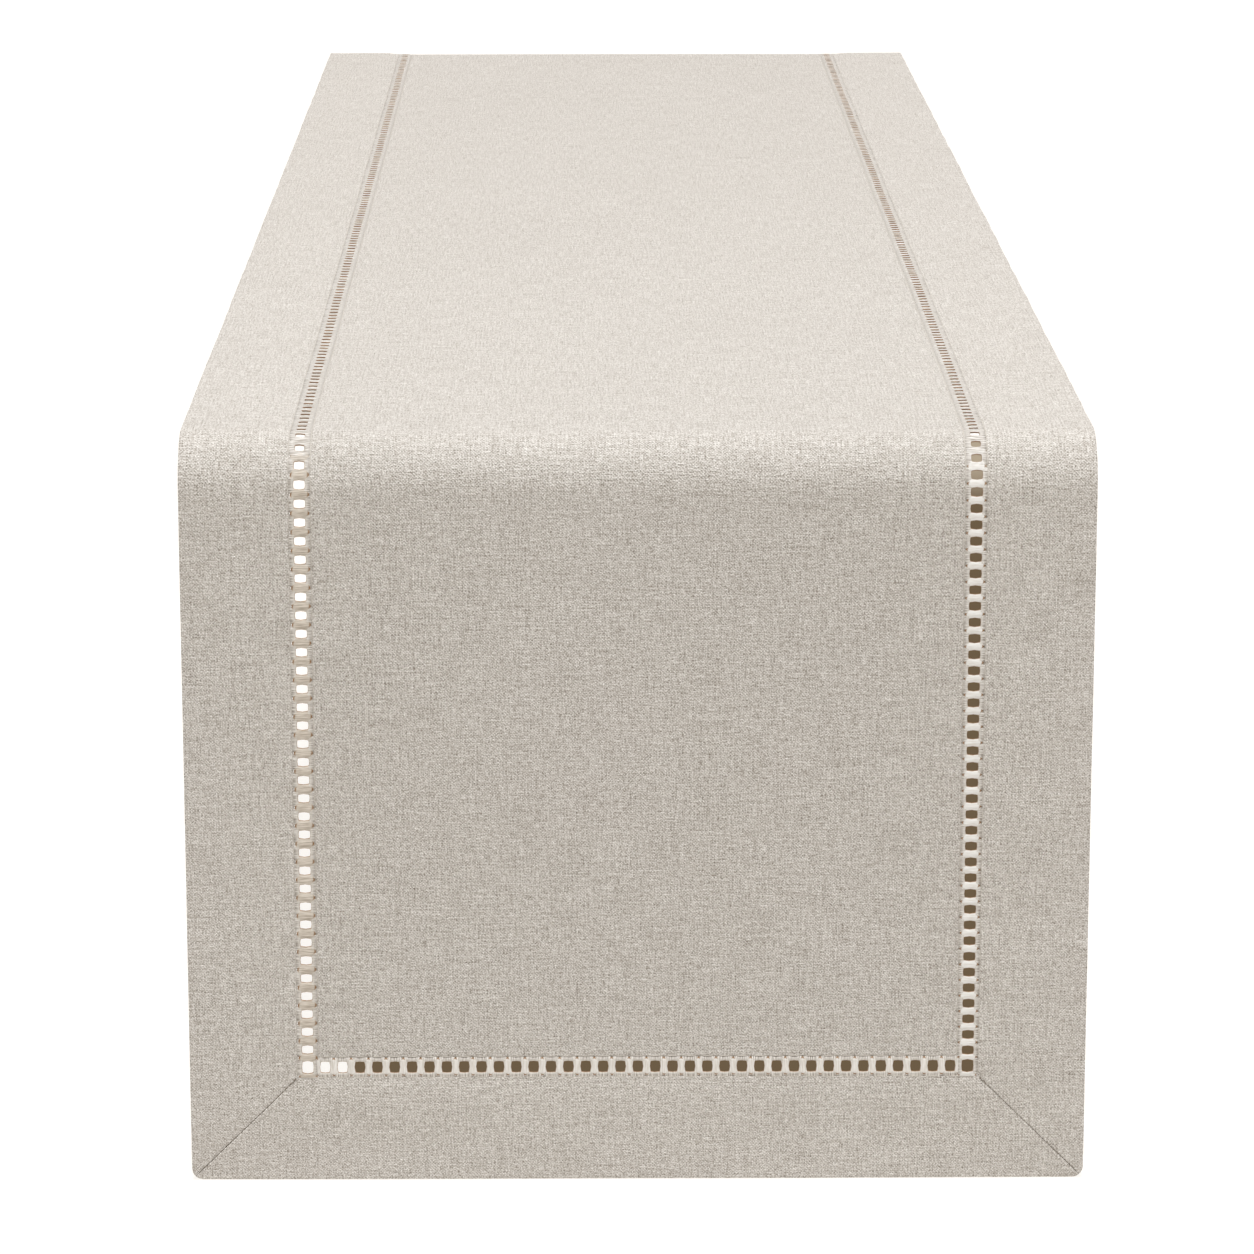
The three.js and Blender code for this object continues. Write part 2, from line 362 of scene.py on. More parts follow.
# %% [markdown]
# ## The ladders
#
# Where threads were drawn out, the threads that are left are gathered by the hemstitch into bars.
# A bar is a little narrower at its middle, a hole has round corners, and a rolled rim of bound
# thread goes along both sides. Holes could be cut out of a strip, but then every edge would be
# sharp and flat. So a ladder is a row of cells, each a hole with five rings of points round it: the
# hole's edge below and above, the crest of the roll, and the cell's boundary above and below. One
# cell is worked out in unit sizes, and all the others are its copies, stretched between the places
# where the bars are halved.
#
# Each point also says which part it belongs to, as a colour: red for the rim, which is painted
# paler as a highlight where the ladder hangs, green for painted shade on a hole's sides and in the
# needle holes, blue for cloth, and none of them for a bar. The finish reads that.

# %% One cell of a ladder
ROLL_TOP = 0.72 * MM  # the crest of the roll
BAR_SIDE, BAR_TOP = 0.60 * MM, 0.72 * MM  # a bar is lower at its sides than along its middle
RIM_TOP = 0.52 * MM  # the strip's outer edge, where the binding thread goes over it
# The holes' sides are painted in shade up to WALL_TOP.
WALL_TOP = 0.46 * MM  # the sides of the holes stay in the shade up to here
FOOT = 0.05 * MM
WALL_LEAN, ROLL_OUT = 0.03 * MM, 0.28 * MM  # how far the wall's top and the roll's crest lie out
BAR_END = 0.05 * MM  # a bar goes on this far past the hole's end
# Each needle hole is a notch in the strip's edge, with painted shade on it.
NOTCH = 0.66 * MM  # each bar's end has a small needle hole beside it,
INNER_NOTCH = 0.5  # which on the inner side is this share as deep
BOW = 0.14  # a hole is this much longer at its middle, which narrows the bars there
NEAR_CORNER = 0.78  # the stops next to a ring's corners
SIDE_STOPS = np.array([-1, -NEAR_CORNER, 0, NEAR_CORNER, 1])
RING = 4 * (len(SIDE_STOPS) - 1)  # points in a ring
# The parts as colours: ROLL takes the rim's painted highlight, SHADE is painted shade, and a bar's
# sides take a little of the rim's painted highlight.
BAR, ROLL, SHADE, CLOTH = (0, 0, 0, 1), (1, 0, 0, 1), (0, 1, 0, 1), (0, 0, 1, 1)
BAR_EDGE = (0.3, 0, 0, 1)  # a bar's sides have a little of the rim's look


def unit_ring():
    """The points round the square from -1 to 1, as (across, along)."""
    q = SIDE_STOPS
    one = np.ones(len(q) - 1)
    sides = [(q[:-1], -one), (one, q[:-1]), (q[:0:-1], one), (-one, q[:0:-1])]
    return np.concatenate([np.stack(side, 1) for side in sides])


def ladder(stops, holes, half_holes, line, half_width, half_open, out_sign):
    """Cells from stops[i] to stops[i + 1], with holes centred at holes[i]. The hole's edge is the
    unit ring with its corners rounded, q sqrt(1 - p^2 / 6), and its long sides bowed towards the
    bars by BOW (1 - p^2). Gives across, along, h and each point's part."""
    ring = unit_ring()
    p, q = ring[:, 0], ring[:, 1]
    round_p, round_q = p * np.sqrt(1 - q * q / 6), q * np.sqrt(1 - p * p / 6)
    bow = 1 + BOW * (1 - p * p)
    low, high = stops[:-1, None], stops[1:, None]
    mid, half, opening = holes[:, None], half_holes[:, None], half_open[:, None]

    def hole_ring(out):
        """The hole's outline moved out by a distance."""
        return (opening + out) * round_p, mid + (half * bow + out) * round_q

    rolled = np.abs(p) == 1
    bar_end = (np.abs(q) == 1) & (np.abs(p) == NEAR_CORNER)
    notched = rolled & (np.abs(q) == 1)
    outer = notched & (p == out_sign)
    bound_across = np.broadcast_to(half_width * p, (len(holes), RING)).copy()
    bound_across[:, bar_end] = (opening + BAR_END) * np.sign(p[bar_end])
    bound_across[:, outer] -= out_sign * NOTCH
    bound_across[:, notched & ~outer] += out_sign * NOTCH * INNER_NOTCH
    bound_along = np.where(q < 0, mid + (mid - low) * q, mid + (high - mid) * q)
    pick = rolled[:, None]
    # Painted shade goes on the needle holes at the bars' ends, and on the holes' sides below.
    edge_part = np.where(notched[:, None], SHADE, np.where(pick, CLOTH, BAR))
    crest_part = np.where(pick, ROLL, BAR_EDGE)
    rings = [
        (*hole_ring(0.0), FOOT, SHADE),
        (*hole_ring(WALL_LEAN), WALL_TOP, SHADE),
        (*hole_ring(ROLL_OUT), np.where(rolled, ROLL_TOP, BAR_SIDE), crest_part),
        (bound_across, bound_along, np.where(rolled, RIM_TOP, BAR_TOP), edge_part),
        (bound_across, bound_along, FOOT, CLOTH),
    ]
    across = np.stack([line + r[0] for r in rings], 1)
    along = np.stack([r[1] for r in rings], 1)
    height = np.stack([bound_along * 0 + r[2] for r in rings], 1)
    part = np.stack([np.broadcast_to(r[3], bound_along.shape + (4,)) for r in rings], 1)
    return across, along, height, part


def ladder_faces(cells, flip):
    """Each ring is joined to the next, and the last to the first. The wall between the two
    boundary rings is left out where the next cell follows on."""
    k = np.arange(RING)
    after = (k + 1) % RING
    pairs = [(a * RING, b * RING) for a, b in ((0, 1), (1, 2), (2, 3), (3, 4), (4, 0))]
    quads = np.concatenate([np.stack([a + k, a + after, b + after, b + k], 1) for a, b in pairs])
    faces = np.arange(cells)[:, None, None] * len(quads) + quads[None]
    keep = np.ones((cells, len(quads)), dtype=bool)
    wall, side = 3 * RING, RING // 4
    keep[1:, wall : wall + side] = False
    keep[:-1, wall + 2 * side : wall + 3 * side] = False
    faces = faces[keep]
    return faces[:, ::-1] if flip else faces


SAME_PLACE = 1e-7  # a ten thousandth of a millimetre


def joined(points, flat, faces, part):
    """Makes one point of all the points that are at one place."""
    keys = np.round(points / SAME_PLACE).astype(np.int64)
    _, first, place = np.unique(keys, axis=0, return_index=True, return_inverse=True)
    return points[first], flat[first], place.reshape(-1)[faces].tolist(), part[first]


# %% [markdown]
# ## How the ladders differ
#
# The hemstitch was worked by hand and eye: the bars are furthest apart in the left ladder and
# closest in the right one. Where a ladder hangs, its holes are open. Where it lies on the table it
# was pressed: the rims close in and the bars spread. There the painted light and shade of the
# hanging ladder fade out: the rims lose their painted highlight, the needle holes their painted
# shade, and the bars take on more of the cloth's colour.

# %% The four ladders
LEFT_PITCH, RIGHT_PITCH, END_PITCH = 7.4 * MM, 6.47 * MM, 6.92 * MM
OPENING = 4.6 * MM  # a hole's size across the ladder
SIDE_HOLE, END_HOLE = 3.1 * MM, 3.6 * MM  # and along it
RIM_TUCK = 0.45 * MM  # the rim goes this far under the binding thread
DRAWN_IN = 0.52 * MM  # lying on the table, the bound rims close in this much from each side,
PRESSED = 0.25 * MM  # and the bars are pressed wider by this at each side
# On the table the bars' painted light gives way to the cloth's colour by this share.
FLAT_CLOTH = 0.60  # there this share of their look is the cloth's


def hole_centres(first, last, pitch):
    """Evenly spaced centres from first to last, the nearest whole number of pitches apart."""
    return np.linspace(first, last, max(1, int(round((last - first) / pitch))) + 1)


def lying(s):
    """How far the cloth lies on the table at length s, from 0 on the drops to 1 on the top: a
    smooth step of how far its outward direction points up, which starts at 0.1."""
    return step_up(cloth_line(s)[3], 0.1, 1.0)


def make_ladder(where):
    """A side ladder runs from end to end, with a square opening at each corner, and an end ladder
    fits between the two. Gives the piece and where the middles of its bars are."""
    side_ladder = where in ("left", "right")
    if side_ladder:
        pitch = LEFT_PITCH if where == "left" else RIGHT_PITCH
        holes = hole_centres(LADDER_LINE, LENGTH - LADDER_LINE, pitch)
        halves = np.full(len(holes), SIDE_HOLE / 2)
        halves[[0, -1]] = OPENING / 2
        ends = (RIM_OUT - RIM_TUCK, LENGTH - RIM_OUT + RIM_TUCK)
        line, out_sign = HALF - LADDER_LINE, 1
        flat_share = lying(holes)
    else:
        corner = HALF - LADDER_LINE
        holes = hole_centres(-corner, corner, END_PITCH)[1:-1]
        halves = np.full(len(holes), END_HOLE / 2)
        ends = (RIM_IN - HALF, HALF - RIM_IN)
        line, out_sign = LADDER_LINE, -1
        flat_share = np.zeros(len(holes))
    halves -= PRESSED * flat_share
    bars = ((holes + halves)[:-1] + (holes - halves)[1:]) / 2
    stops = np.concatenate([[ends[0]], bars, [ends[1]]])
    half_width = (RIM_IN - RIM_OUT) / 2 + RIM_TUCK
    half_open = OPENING / 2 - DRAWN_IN * flat_share
    across, along, h, part = ladder(stops, holes, halves, line, half_width, half_open, out_sign)
    # Where the ladder lies on the table, the rim's painted highlight and the needle holes' painted
    # shade fade out, and the bars take on the cloth's colour.
    lying_share = flat_share[:, None, None]
    part[..., 0] *= 1 - lying_share
    part[:, 3:, :, 1] *= 1 - lying_share
    part[..., 2] = np.maximum(part[..., 2], FLAT_CLOTH * lying_share * (part[..., 1] < 1))
    x, s = (across, along) if side_ladder else (along, across)
    if where == "left":
        x = -x
    if where == "back":
        s = LENGTH - s
    faces = ladder_faces(len(holes), flip=where in ("right", "back"))
    points, flat = lay(x, s, h).reshape(-1, 3), np.stack([x, s], -1).reshape(-1, 2)
    points, flat, faces, part = joined(points, flat, faces, part.reshape(-1, 4))
    skin = (f"{where}_ladder", points, flat, faces, f"ladder_{where}", "drawn_thread", part)
    return make_piece(*skin), bars


ladders, ladder_bars = {}, {}
for where in ("left", "right", "front", "back"):
    ladders[where], ladder_bars[where] = make_ladder(where)
    print(where, "ladder:", len(ladder_bars[where]), "bars")

# %% [markdown]
# ## The sewing threads
#
# A row of stitches binds each rim. The thread rises between two needle holes and dives at each,
# beside the end of a bar. A bevelled curve would give a round thread too, but a tube worked out on
# the cloth's own line needs no change afterwards. The mitres are closed with a much finer slip
# stitch, which swings from side to side along the top of the groove.


# %% A thread as a tube along a line
def tube(path_x, path_s, path_h, radius, sides=8):
    """Carries a circle of the radius along the line: at each stop the circle lies across the line's
    direction, and its two axes are the cloth's outward direction and the one square to both. The
    ends are drawn in to a point."""
    rows = len(path_x)
    line = lay(path_x, path_s, path_h)
    along = np.gradient(line, axis=0)
    along /= np.linalg.norm(along, axis=1, keepdims=True)
    _, _, out_y, out_z = cloth_line(path_s)
    beside = np.cross(np.stack([0 * out_y, out_y, out_z], 1), along)
    beside /= np.linalg.norm(beside, axis=1, keepdims=True)
    out = np.cross(along, beside)
    turn = 2 * math.pi * np.arange(sides) / sides
    cos, sin = np.cos(turn)[None, :, None], np.sin(turn)[None, :, None]
    size = np.full((rows, 1, 1), radius)
    size[[0, -1]] = radius / 4
    points = line[:, None] + size * (cos * beside[:, None] + sin * out[:, None])
    points = np.concatenate([points.reshape(-1, 3), line[[0]], line[[-1]]])
    k = np.arange(sides)
    after = (k + 1) % sides
    i = (np.arange(rows - 1) * sides)[:, None]
    skin = np.stack([i + k, i + after, i + sides + after, i + sides + k], -1).reshape(-1, 4)
    last = (rows - 1) * sides
    first_cap = np.stack([after, k, np.full(sides, rows * sides)], 1)
    last_cap = np.stack([last + k, last + after, np.full(sides, rows * sides + 1)], 1)
    flat = np.stack([np.repeat(path_s, sides), np.tile(turn / 500, rows)], 1)
    flat = np.concatenate([flat, flat[[0]], flat[[-1]]])
    return points, flat, skin.tolist() + first_cap.tolist() + last_cap.tolist()


# %% The binding threads
THREAD_R = 0.24 * MM
STITCH_RISE = 0.52 * MM
STITCH_LOW = -0.06 * MM
PULL = 0.16 * MM  # at each needle hole the thread is drawn towards the bars
PRESSED_LIFT = 0.7  # on the table a stitch dives less, by this share
STEPS = 6  # points in each stitch


def binding_line(bars, first, last, distance, towards, lies):
    """One stitch from bar to bar, with t counting the stitches: lift = sqrt(sin(pi t)), h = low +
    rise * lift, and the thread lies PULL nearer to the bars at each needle hole. lies says whether
    the row lies on the table at all."""
    knots = np.concatenate([[first], bars, [last]])
    count = len(knots) - 1
    t = np.arange(count * STEPS + 1) / STEPS
    b = np.interp(t, np.arange(count + 1), knots)
    lift = np.sqrt(np.abs(np.sin(math.pi * t)))
    if lies:
        lift = lift + (1 - lift) * PRESSED_LIFT * lying(b)
    return b, distance + towards * PULL * (1 - lift), STITCH_LOW + STITCH_RISE * lift


bindings = []
for where in ("left", "right", "front", "back"):
    bars = ladder_bars[where]
    for row, distance, towards in (("outer", OUTER_THREAD, 1), ("inner", INNER_THREAD, -1)):
        if where in ("left", "right"):
            s, d, h = binding_line(bars, distance, LENGTH - distance, distance, towards, True)
            x = (HALF - d) * (-1 if where == "left" else 1)
        else:
            reach = HALF - distance
            x, d, h = binding_line(bars, -reach, reach, distance, towards, False)
            s = d if where == "front" else LENGTH - d
        name, node = f"{where}_binding_{row}", f"binding_{where}_{row}"
        bindings.append(make_piece(name, *tube(x, s, h, THREAD_R), node, "binding_thread"))

# %% The mitres' slip stitches
SLIP_R = 0.125 * MM
SLIP_PITCH = 2.6 * MM
SLIP_SWING = 0.12 * MM
SLIP_H, SLIP_DIP = 0.74 * MM, 0.1 * MM
SLIP_STEPS = 8
SLIP_START = CORNER_ROUND * (math.sqrt(2) - 1) + 0.5 * MM
SLIP_STOP = OUTER_THREAD * math.sqrt(2) - 0.3 * MM


def mitre_thread(side, end):
    """From the round corner to the ladder along the mitre, with t counting the stitches, swinging
    from border to border as a rounded zigzag: sideways = swing * sin(2 pi t)."""
    stitches = int((SLIP_STOP - SLIP_START) / SLIP_PITCH)
    t = np.arange(stitches * SLIP_STEPS + 1) / SLIP_STEPS
    m = SLIP_START + (SLIP_STOP - SLIP_START) * t / stitches
    swing = SLIP_SWING * np.sin(2 * math.pi * t)
    h = SLIP_H + SLIP_DIP * np.cos(4 * math.pi * t)
    d_side, d_end = (m + swing) / math.sqrt(2), (m - swing) / math.sqrt(2)
    s = d_end if end < 0 else LENGTH - d_end
    return tube(side * (HALF - d_side), s, h, SLIP_R, sides=6)


seams = []
for word, end in (("front", -1), ("back", 1)):
    for hand, side in (("left", -1), ("right", 1)):
        name = f"mitre_{word}_{hand}"
        seams.append(make_piece(f"{name}_stitch", *mitre_thread(side, end), name, "seam_thread"))

# %% [markdown]
# ## Linen
#
# Linen yarn is uneven: every thread has thick and thin places, called slubs, up to some
# centimetres long. A picture of cloth would blur close up and slide at the bends, so the finish
# is worked out instead, from two families of flecks, one along each set of threads: short ones for
# the thick and thin places and long thin ones for the slubs. A grain at the crossings, the over and
# under of a plain weave and a broad, faint cloudiness are added. All of it reads the piece's UV,
# which is the place on the flat cloth in metres, so a thread stays one thread where the cloth
# bends.


# %% Small helpers for the finishes
def srgb(red, green, blue):
    """A colour as it is seen, from 0 to 255 each, in the linear values that the shader takes."""
    seen = (red / 255, green / 255, blue / 255)
    return tuple(c / 12.92 if c <= 0.04045 else ((c + 0.055) / 1.055) ** 2.4 for c in seen) + (1.0,)


class Finish:
    """A material being wired: node(type, settings) adds a node, and join links two sockets."""

    def __init__(self, name, roughness, sheen):
        self.material = bpy.data.materials.new(name)
        self.material.use_nodes = True
        tree = self.material.node_tree
        self.nodes, self.links = tree.nodes, tree.links
        self.shader = self.nodes["Principled BSDF"]
        self.shader.inputs["Roughness"].default_value = roughness
        self.shader.inputs["Specular IOR Level"].default_value = 0.25
        self.shader.inputs["Sheen Weight"].default_value = sheen
        self.shader.inputs["Sheen Roughness"].default_value = 0.45
        self.uv = self.node("ShaderNodeUVMap", uv_map="cloth").outputs["UV"]

    def node(self, kind, **settings):
        """Adds a node, and sets the named properties on it."""
        made = self.nodes.new(kind)
        for key, value in settings.items():
            setattr(made, key, value)
        return made

    def join(self, out, into):
        """Links an output to an input."""
        self.links.new(out, into)

    def maths(self, operation, *values):
        """One step of arithmetic on sockets and plain numbers."""
        made = self.node("ShaderNodeMath", operation=operation)
        for socket, value in zip(made.inputs, values):
            if isinstance(value, (int, float)):
                socket.default_value = value
            else:
                self.join(value, socket)
        return made.outputs[0]

    def add(self, *values):
        """The sum of two or more sockets."""
        total = values[0]
        for value in values[1:]:
            total = self.maths("ADD", total, value)
        return total

    def flecks(self, across, along, detail):
        """Noise with flecks of about that size across and along, in metres. Detail adds finer
        ones inside them."""
        place = self.node("ShaderNodeMapping")
        place.inputs["Scale"].default_value = (1 / across, 1 / along, 1)
        self.join(self.uv, place.inputs["Vector"])
        noise = self.node("ShaderNodeTexNoise", noise_dimensions="2D")
        noise.inputs["Scale"].default_value = 1.0
        noise.inputs["Detail"].default_value = detail
        self.join(place.outputs[0], noise.inputs["Vector"])
        return noise.outputs["Fac"]

    def mixed(self, amount, low, high):
        """A colour between two, by amount."""
        made = self.node("ShaderNodeMix", data_type="RGBA")
        self.join(amount, made.inputs["Factor"])
        spots = [socket for socket in made.inputs if socket.type == "RGBA"]
        for spot, colour in zip(spots, (low, high)):
            if isinstance(colour, tuple):
                spot.default_value = colour
            else:
                self.join(colour, spot)
        return next(socket for socket in made.outputs if socket.type == "RGBA")

    def spread(self, value, low, high):
        """Stretches value so that low becomes 0 and high becomes 1."""
        made = self.node("ShaderNodeMapRange")
        made.inputs["From Min"].default_value = low
        made.inputs["From Max"].default_value = high
        self.join(value, made.inputs["Value"])
        return made.outputs[0]

    def bump(self, height, strength, distance):
        """Lifts the surface by a height, where 1 stands for the distance."""
        made = self.node("ShaderNodeBump")
        made.inputs["Strength"].default_value = strength
        made.inputs["Distance"].default_value = distance
        self.join(height, made.inputs["Height"])
        self.join(made.outputs[0], self.shader.inputs["Normal"])

    def colour(self, socket):
        """Gives the finish its colour."""
        self.join(socket, self.shader.inputs["Base Color"])


# %% The linen itself
YARN = 0.62 * MM  # from thread to thread
GRAIN = 0.66 * MM  # from crossing to crossing, about
FLECK_WIDE, FLECK_LONG = 0.64 * MM, 3.2 * MM  # the thick and thin places
SLUB_WIDE, SLUB_LONG = 0.8 * MM, 1 / 55  # a slub is about two centimetres long
CLOUD = 1 / 9
WEAVE_SHARE, FLECK_SHARE, GRAIN_SHARE, CLOUD_SHARE = 0.08, 0.28, 0.40, 0.02
WARP_SLUBS, WEFT_SLUBS = 0.18, 0.20
DARKEST, LIGHTEST = 0.39, 0.95  # the heights that get the yarn's darkest and lightest colour
YARN_RELIEF = 0.85 * MM


def linen(name, dark, light):
    """Warp flecks plus weft flecks plus the plain weave's over and under give one height, which
    both colours the cloth between its dark and light yarn and lifts it."""
    f = Finish(name, roughness=0.88, sheen=0.04)
    grain = f.flecks(GRAIN, GRAIN, 0.0)
    warp, weft = f.flecks(FLECK_WIDE, FLECK_LONG, 1.0), f.flecks(FLECK_LONG, FLECK_WIDE, 1.0)
    warp_slub, weft_slub = f.flecks(SLUB_WIDE, SLUB_LONG, 1.0), f.flecks(SLUB_LONG, SLUB_WIDE, 1.0)
    cloud = f.flecks(CLOUD, CLOUD, 2.0)
    split = f.node("ShaderNodeSeparateXYZ")
    f.join(f.uv, split.inputs[0])
    over, under = (
        f.maths("SINE", f.maths("MULTIPLY", split.outputs[axis], math.pi / YARN)) for axis in "XY"
    )
    height = f.add(
        f.maths("MULTIPLY", warp, FLECK_SHARE),
        f.maths("MULTIPLY", weft, FLECK_SHARE),
        f.maths("MULTIPLY", warp_slub, WARP_SLUBS),
        f.maths("MULTIPLY", weft_slub, WEFT_SLUBS),
        f.maths("MULTIPLY", grain, GRAIN_SHARE),
        f.maths("MULTIPLY", f.maths("MULTIPLY", over, under), WEAVE_SHARE),
    )
    clouded = f.add(height, f.maths("MULTIPLY", cloud, CLOUD_SHARE))
    f.colour(f.mixed(f.spread(clouded, DARKEST, LIGHTEST), dark, light))
    f.bump(height, 1.0, YARN_RELIEF)
    return f.material


LINEN_DARK, LINEN_LIGHT = srgb(157, 147, 136), srgb(248, 244, 239)
BORDER_DARK, BORDER_LIGHT = srgb(159, 149, 138), srgb(250, 246, 241)
linen_cloth = linen("oatmeal_linen", LINEN_DARK, LINEN_LIGHT)
border_cloth = linen("oatmeal_linen_border", BORDER_DARK, BORDER_LIGHT)
centre.data.materials.append(linen_cloth)
for piece in borders.values():
    piece.data.materials.append(border_cloth)
print("linen on", 1 + len(borders), "cloths")

# %% [markdown]
# ## The threads
#
# The bars are the cloth's own threads, but lying side by side without the others they look paler.
# Their colour also holds painted light and shade: the right ladder's bars are painted palest, as if
# they caught the light best, the end ladders' a little less, and the left ladder's darker, as if in
# shade, so there are three lit and shaded copies of one finish. Each one is strands along the bars,
# with a painted highlight on the hanging rim, painted shade on the holes' sides and in the needle
# holes, and the cloth's colour where a ladder lies on the table. The binding thread is close to the
# linen's own colour, and the mitres' thread is darker, so that it shows as a hairline.


# %% Thread finishes
STRAND_WIDE, STRAND_LONG, STRAND_RELIEF = 1 / 2600, 1 / 180, 0.3 * MM
# Painted highlight for the hanging rims, and painted shade for the holes' sides and needle holes.
RIM_DARK, RIM_LIGHT = srgb(204, 197, 187), srgb(240, 236, 230)
SHADE_DARK, SHADE_LIGHT = srgb(126, 94, 62), srgb(168, 132, 94)


def bars_finish(name, turned, dark, light):
    """Fine strands along the bars, which run the other way where turned. The part attribute says
    where the bar's colour gives way to the rim's painted highlight, to the painted shade and to the
    cloth's, and each spread of it narrows the blur between two parts."""
    f = Finish(name, roughness=0.75, sheen=0.2)
    strand = (STRAND_WIDE, STRAND_LONG) if turned else (STRAND_LONG, STRAND_WIDE)
    strands = f.flecks(*strand, 2.0)
    uneven = f.spread(strands, 0.3, 0.7)
    share = f.node("ShaderNodeSeparateColor")
    f.join(f.node("ShaderNodeAttribute", attribute_name="part").outputs["Color"], share.inputs[0])
    rim = f.spread(share.outputs[0], 0.35, 0.8)
    shade = f.spread(share.outputs[1], 0.4, 0.8)
    cloth = f.spread(share.outputs[2], 0.15, 0.5)
    tone = f.mixed(uneven, dark, light)
    tone = f.mixed(rim, tone, f.mixed(uneven, RIM_DARK, RIM_LIGHT))
    tone = f.mixed(cloth, tone, f.mixed(uneven, LINEN_DARK, LINEN_LIGHT))
    f.colour(f.mixed(shade, tone, f.mixed(uneven, SHADE_DARK, SHADE_LIGHT)))
    f.bump(strands, 0.6, STRAND_RELIEF)
    return f.material


TWIST_WIDE, TWIST_LONG, TWIST_RELIEF = 1 / 1500, 1 / 800, 0.2 * MM


def thread_finish(name, dark, light, roughness):
    """The twist of a sewing thread: flecks a little longer than they are wide."""
    f = Finish(name, roughness=roughness, sheen=0.1)
    twist = f.flecks(TWIST_WIDE, TWIST_LONG, 1.0)
    f.colour(f.mixed(f.spread(twist, 0.3, 0.7), dark, light))
    f.bump(twist, 0.5, TWIST_RELIEF)
    return f.material


# Lit and shaded copies of one finish: the left bars are painted darker as if in shade, and the
# right and end bars are painted paler as if in light.
shaded_left_bars = bars_finish("drawn_threads_left_painted_shade", False, srgb(188, 176, 161), srgb(236, 227, 215))
lit_right_bars = bars_finish("drawn_threads_right_painted_light", False, srgb(238, 234, 228), srgb(254, 253, 251))
lit_end_bars = bars_finish("drawn_threads_end_painted_light", True, srgb(228, 222, 213), srgb(253, 250, 246))
for where, piece in ladders.items():
    piece.data.materials.append({"left": shaded_left_bars, "right": lit_right_bars}.get(where, lit_end_bars))
binding_look = thread_finish("pale_binding", srgb(186, 178, 167), srgb(228, 223, 216), 0.75)
seam_look = thread_finish("seam_thread", srgb(104, 90, 74), srgb(148, 134, 116), 0.8)
for pieces, look in ((bindings, binding_look), (seams, seam_look)):
    for piece in pieces:
        piece.data.materials.append(look)
print("finishes:", len(bpy.data.materials))

# %% [markdown]

# %% [markdown]
# ## Floor and surroundings
#
# The runner stands in a pale, bright studio. The floor glows a little as well as taking light, so
# that it stays pale in the runner's own shadow and throws light back up at the cloth. The world is
# white to look at but lights the cloth only faintly, because an even light from all round would
# wash out the weave.


# %% Floor and surroundings
def dull_finish(name, colour):
    """A plain finish without gloss, for what isn't part of the runner: the material and shader."""
    look = bpy.data.materials.new(name)
    look.use_nodes = True
    shader = look.node_tree.nodes["Principled BSDF"]
    shader.inputs["Base Color"].default_value = colour
    shader.inputs["Roughness"].default_value = 0.9
    shader.inputs["Specular IOR Level"].default_value = 0.0
    return look, shader


FLOOR_Z = -DROP - 0.3 * MM  # a hair below the hems
FLOOR_REACH = 14.0
FLOOR_COLOUR, FLOOR_GLOW = (0.18, 0.172, 0.16, 1), (0.91, 0.885, 0.85, 1)
turns = ((-1, -1), (1, -1), (1, 1), (-1, 1))
corners = [(x * FLOOR_REACH, y * FLOOR_REACH, FLOOR_Z) for x, y in turns]
floor_mesh = bpy.data.meshes.new("floor")
floor_mesh.from_pydata(corners, [], [(0, 1, 2, 3)])
floor = bpy.data.objects.new("floor", floor_mesh)
bpy.context.scene.collection.objects.link(floor)
floor_look, floor_shader = dull_finish("glowing_floor", FLOOR_COLOUR)
floor_shader.inputs["Emission Color"].default_value = FLOOR_GLOW
floor_shader.inputs["Emission Strength"].default_value = 1.0
floor_mesh.materials.append(floor_look)

SKY_SEEN, SKY_LIGHT = (1, 1, 1, 1), (0.13, 0.117, 0.10, 1)
world = bpy.data.worlds.new("studio")
world.use_nodes = True
bpy.context.scene.world = world
sky, wires = world.node_tree.nodes, world.node_tree.links
path = sky.new("ShaderNodeLightPath")
either = sky.new("ShaderNodeMixRGB")
either.inputs["Color1"].default_value = SKY_LIGHT
either.inputs["Color2"].default_value = SKY_SEEN
wires.new(path.outputs["Is Camera Ray"], either.inputs["Fac"])
wires.new(either.outputs[0], sky["Background"].inputs["Color"])
print("floor at", round(FLOOR_Z, 4), "m")

# %% [markdown]
# ## Lights
#
# The key light stands high up in front, so that it rakes down the drop and brings out the weave,
# while the top stays smooth and bright. A weak one from behind keeps the back drop from going
# dark, and a soft, slightly cool one hangs over the front of the top, where the cloth is palest.


# %% Lights
def far_light(name, strength, azimuth, elevation, width):
    """A far, soft light: azimuth 0 stands in front and 90 at the right, in degrees, and width is
    the angle that it fills."""
    lamp = bpy.data.lights.new(name, "SUN")
    lamp.energy, lamp.angle = strength, math.radians(width)
    light = bpy.data.objects.new(name, lamp)
    light.rotation_euler = (math.radians(90 - elevation), 0, math.radians(azimuth))
    bpy.context.scene.collection.objects.link(light)


far_light("key", 3.24, 0, 80, 5)
far_light("back_fill", 0.42, 168, 45, 20)

NEAR_PLACE = (0.2, -0.85, 1.4)
near_lamp = bpy.data.lights.new("near_soft", "AREA")
near_lamp.energy, near_lamp.size, near_lamp.color = 2.4, 0.8, (0.90, 0.97, 1.0)
near = bpy.data.objects.new("near_soft", near_lamp)
near.location = NEAR_PLACE
bpy.context.scene.collection.objects.link(near)
print("lights:", len(bpy.data.lights))

# %% [markdown]
# ## What shows through the holes
#
# A ladder is seen as much by what is behind its holes as by its bars. At the left the bright studio
# shines through them. At the right and along the front they are dark, as over the shade under a
# table. The table isn't part of the runner, and a dark floor would spoil every other view, so a
# narrow card with that shade painted on it stands a little way behind those two ladders. It is a
# ribbon that follows the cloth's own line: in front it glows in a painted brown shade, growing
# paler where it follows the bend up into the light, and behind it is as pale as the linen's shaded
# side.

